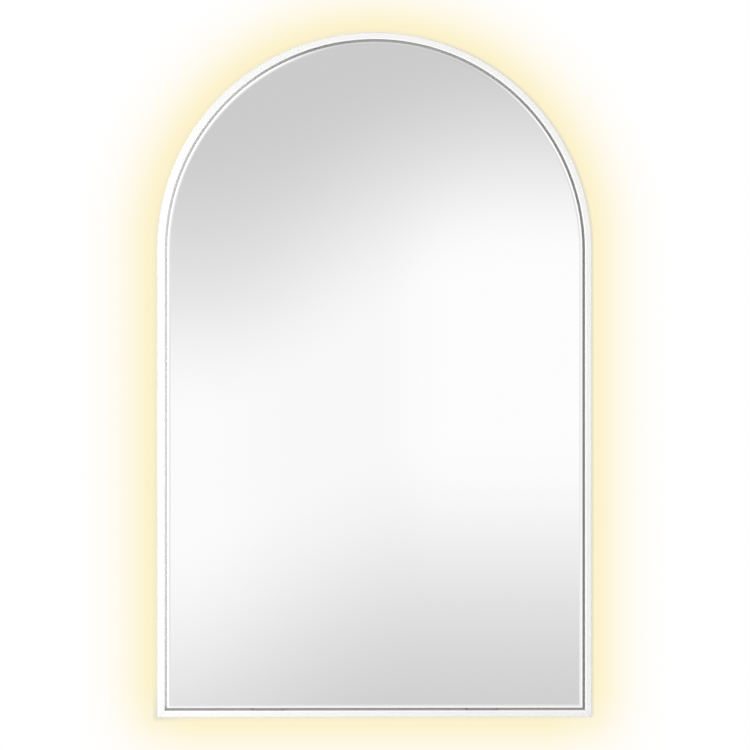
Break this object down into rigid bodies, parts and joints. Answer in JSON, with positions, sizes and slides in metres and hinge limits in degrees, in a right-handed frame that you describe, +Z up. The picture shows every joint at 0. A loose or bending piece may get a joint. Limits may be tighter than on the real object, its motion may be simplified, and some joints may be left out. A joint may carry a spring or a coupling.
{
  "type": "lighted bathroom mirror",
  "caption": "Arched wall mirror in a thin metal frame with a light channel behind it, hung by a hook bar on a wall rail.",
  "frame": {"origin": "middle of the wall rail's screw line, on the wall plane", "axes": "+Z up, the glass faces -Y, +X to the right seen from the front"},
  "size_m": [0.61, 0.045, 0.96],
  "materials": {
    "white_paint": "satin white powder coat",
    "mirror": "silvered",
    "film": "grey safety film",
    "foam": "closed-cell foam",
    "rubber": "matt",
    "silicone": "grey translucent silicone",
    "zinc_steel": "zinc-plated",
    "aluminium": "natural anodised",
    "opal": "milky",
    "strip": "white circuit strip",
    "light_package": "phosphor",
    "nylon": "natural nylon",
    "grey_plastic": "light grey moulding",
    "board": "circuit board",
    "black_plastic": "black moulding",
    "lead_sheath": "black sheath",
    "light_sheath": "white sheath"
  },
  "bodies": {
    "wall_bracket": {"wall_rail": "zinc_steel"},
    "mirror": {"frame_arch": "white_paint", "frame_bottom_rail": "white_paint", "corner_keys": "zinc_steel", "mirror_glass": "mirror", "safety_film": "film", "glazing_tape": "foam", "setting_blocks": "silicone", "spacer_blocks": "foam", "back_panel": "zinc_steel", "panel_rivets": "nylon", "light_channel_arch": "aluminium", "light_channel_bottom": "aluminium", "channel_rivets": "nylon", "light_cover_arch": "opal", "light_cover_bottom": "opal", "light_strip": "strip", "light_packages": "light_package", "web_bush": "black_plastic", "hanger_hook": "zinc_steel", "upper_crossbar": "zinc_steel", "lower_crossbar": "zinc_steel", "wall_bumpers": "rubber", "driver_case": "grey_plastic", "driver_lid": "grey_plastic", "driver_board": "board", "housing_rivets": "nylon", "junction_box": "grey_plastic", "junction_lid": "grey_plastic", "terminal_block": "nylon", "cord_bush": "black_plastic", "mains_lead": "lead_sheath", "light_lead": "light_sheath", "lead_clips": "nylon"}
  },
  "joints": [
    {"name": "lift_off", "type": "slide", "parent": "wall_bracket", "child": "mirror", "axis": [0, 0, 1], "range_m": [0, 0.016]}
  ]
}
